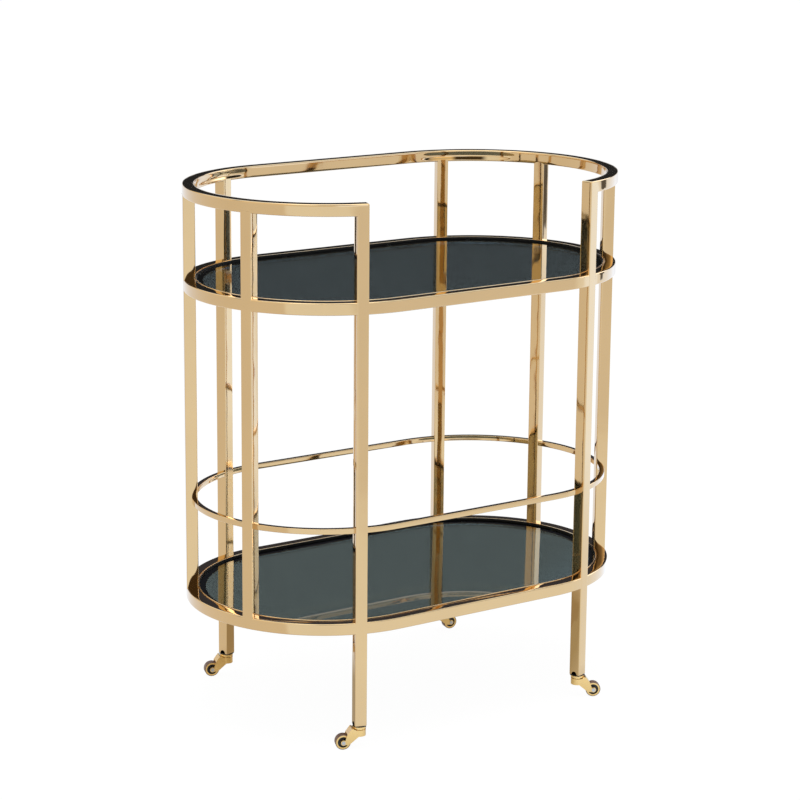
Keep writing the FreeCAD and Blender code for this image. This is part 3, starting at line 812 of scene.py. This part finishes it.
def make_seat(name, node, lip, material):
    """The angle ring that carries the glass, with a round top edge that far above the ring's top."""
    half_straight, outer, low, high = oval_of([node])
    top = high - low - SEAT_RISE + lip
    outline = round_outline([
        (0, 0, SEAT_FOOT_EDGE), (0, top, LIP_ROUND), (-SEAT_WALL, top, LIP_ROUND),
        (-SEAT_WALL, SEAT_WALL, SEAT_EDGE), (-SEAT_LEDGE, SEAT_WALL, SEAT_EDGE), (-SEAT_LEDGE, 0, SEAT_EDGE)])
    piece = loft(name, oval_stations(half_straight, outer, low, outline), closed=True)
    finish_piece(piece, material, "frame", "frame_gold", node)


def make_seal(name, node, lip, material):
    """The black strip between the angle and the glass."""
    half_straight, outer, low, high = oval_of([node])
    top = high - low - SEAT_RISE + lip - SEAL_DROP
    outline = round_outline([
        (-SEAT_WALL + SEAL_OUTER, SEAT_WALL, SEAL_EDGE), (-SEAT_WALL + SEAL_OUTER, top, SEAL_EDGE),
        (-SEAT_WALL - SEAL_INNER, top, SEAL_TOP_EDGE), (-SEAT_WALL - SEAL_INNER, SEAT_WALL, SEAL_EDGE)])
    piece = loft(name, oval_stations(half_straight, outer, low, outline), closed=True)
    finish_piece(piece, material, "frame", "black_plastic")


def make_lining(name, node, ring, material):
    """The bare steel of the ring's inner wall, under the angle."""
    half_straight, outer, low, _ = oval_of([node])
    bottom = oval_of(spans_of(ring))[2] - low + LINING_LIFT
    outline = [(LINING_BACK, 0, 1, 0), (-LINING_IN, 0, -1, 0),
               (-LINING_IN, bottom, -1, 0), (LINING_BACK, bottom, 1, 0)]
    piece = loft(name, oval_stations(half_straight, outer, low, outline), closed=True)
    finish_piece(piece, material, "frame", "bright_steel")


def make_pane(name, node, material):
    """A glass pane with ground edges. Its rings run from the middle line under the glass, round the
    edge, to the one over it."""
    half_straight, outer, low, high = oval_of([node])
    thick = high - low
    outline = [(-outer, 0, 0, -1)]
    for centre, start in ((ARRIS, -90), (thick - ARRIS, 0)):
        for step in range(ARRIS_STEPS + 1):
            angle = math.radians(start + 90 * step / ARRIS_STEPS)
            outline.append((ARRIS * (math.cos(angle) - 1), centre + ARRIS * math.sin(angle),
                            math.cos(angle), math.sin(angle)))
    outline.append((-outer, thick, 0, 1))
    piece = loft(name, oval_stations(half_straight, outer, low, outline), closed=True, sheet=True)
    finish_piece(piece, material, "frame", "tinted_glass", node)


def turned_rings(place, axis, first, second, profile):
    """A turned shape's rings round an axis, from (along the axis, radius, normal along, normal out)
    points."""
    rings = []
    for step in range(RECESS_STEPS):
        angle = 2 * math.pi * step / RECESS_STEPS
        out = first * math.cos(angle) + second * math.sin(angle)
        rings.append([(place + axis * along + out * radius, axis * na + out * nr)
                      for along, radius, na, nr in profile])
    return rings


def make_recess(corner, material):
    """The black cups in both faces of a wheel, between rim and hub."""
    low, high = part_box("caster_wheel_" + corner)
    place = (Vector(low) + Vector(high)) / 2
    axis = Vector(next(joint["axis"] for joint in frame["joints"] if joint["name"] == "roll_" + corner))
    shape = ((CUP_FACE, RECESS_OUT, 0.3, -0.95), (CUP_BEND, RECESS_OUT - CUP_BEND_IN, 0.4, -0.9),
             (CUP_FLOOR, RECESS_OUT - CUP_FLOOR_IN, 1, 0), (CUP_FLOOR, RECESS_IN + CUP_FLOOR_IN, 1, 0),
             (CUP_BEND, RECESS_IN + CUP_BEND_IN, 0.4, 0.9), (CUP_FACE, RECESS_IN, 0.3, 0.95),
             (CUP_FACE, RECESS_IN - CUP_WALL, 0, -1), (CUP_BACK, RECESS_IN - CUP_WALL, -1, -1),
             (CUP_BACK, RECESS_OUT + CUP_WALL, -1, 1), (CUP_FACE, RECESS_OUT + CUP_WALL, 0, 1))
    for face, side in (("near", 1), ("far", -1)):
        profile = [(at * side, radius, na * side, nr) for at, radius, na, nr in shape]
        piece = loft("recess_%s_%s" % (corner, face), turned_rings(place, axis, UP, axis.cross(UP), profile),
                     closed=True)
        finish_piece(piece, material, "wheel_" + corner, "black_plastic")


def make_tabs(corner, material):
    """The plug's round tabs, which show in the leg's sides just above its end."""
    place, out, low, _ = stand_of(corner + "_leg")
    for side, way in (("a", 1), ("b", -1)):
        across = UP.cross(out) * way
        centre = place + across * (TUBE / 2 - TAB_BED) + UP * low
        rings = []
        for depth, radius in TAB_SHAPE:
            tilt = 0.0 if radius < TAB_FACE else (1.0 if depth < TAB_EDGE else TAB_EDGE_TILT)
            ring = []
            for step in range(TAB_STEPS + 1):
                angle = math.pi * step / TAB_STEPS
                spoke = out * math.cos(angle) + UP * math.sin(angle) * TAB_STRETCH
                ring.append((centre + spoke * radius + across * depth, spoke * tilt + across * (1.05 - tilt)))
            rings.append(ring)
        finish_piece(loft("tab_%s_%s" % (corner, side), rings), material, "frame", "black_plastic")


def main():
    make_camera()
    make_studio()
    frame_gold = gold("frame_gold", FRAME_GOLD, roughness=0.05, spread=0.02, wobble=0.0005)
    caster_gold = gold("caster_gold", CASTER_GOLD, roughness=0.3, spread=0.04, wobble=0.0001)
    steel = plain("bright_steel", STEEL, roughness=0.25, grain_scale=METAL_GRAIN, metallic=1.0)
    bare = plain("bare_steel", BARE_STEEL, roughness=0.2, grain_scale=METAL_GRAIN, metallic=1.0)
    rubber = plain("tread_rubber", RUBBER, roughness=0.45, grain_scale=TREAD_GRAIN)
    black = plain("black_plastic", PLASTIC, roughness=0.45, grain_scale=METAL_GRAIN)
    plug = plain("plug_black", PLUG, roughness=0.35, grain_scale=METAL_GRAIN)
    seal = plain("seal_black", SEAL, roughness=0.6, grain_scale=METAL_GRAIN)
    seal.node_tree.nodes["Principled BSDF"].inputs["Specular IOR Level"].default_value = 0.15
    clear = plain("clear_pad", CLEAR, roughness=0.3, grain_scale=METAL_GRAIN)
    for name in nodes:
        if name.startswith(("caster_fork", "caster_collar", "caster_wheel")):
            dress(name, caster_gold)
            soften(name, BEVEL)
        elif name.startswith(("caster_axle", "caster_stem")):
            dress(name, steel)
            soften(name, SMALL_BEVEL)
        elif name.startswith("caster_tread"):
            dress(name, rubber)
        elif name == "glass_pads":
            dress(name, clear)
        elif name == "leg_plugs":
            dress(name, black)
        else:
            dress(name, frame_gold)
    make_front_frame(frame_gold)
    for name in ["rear_left_leg", "rear_right_leg", *POSTS]:
        make_upright(name, frame_gold)
    make_ring("upper_ring", "upper_shelf", frame_gold, "frame_gold", RING_CORNER, RING_SHY)
    make_ring("lower_ring", "lower_shelf", frame_gold, "frame_gold", RING_CORNER, RING_SHY)
    make_ring("gallery_rail", "gallery", frame_gold, "gallery_gold", GALLERY_CORNER, 0.0, GALLERY_SINK)
    for corner in CORNERS:
        make_recess(corner, black)
        make_tabs(corner, plug)
    for shelf, lip, tone, slope in (("upper", UPPER_LIP, UPPER_GLASS, 0.0),
                                    ("lower", LOWER_LIP, LOWER_GLASS_PAINTED_LIGHTER, LOWER_GLASS_SLOPE)):
        make_seat(shelf + "_seat", shelf + "_glass_seat", lip, frame_gold)
        make_seal(shelf + "_seal", shelf + "_glass_seat", lip, seal)
        make_lining(shelf + "_lining", shelf + "_glass_seat", shelf + "_shelf", bare)
        make_pane(shelf + "_pane", shelf + "_glass", tinted_glass(shelf + "_glass_tint", tone, slope))


main()
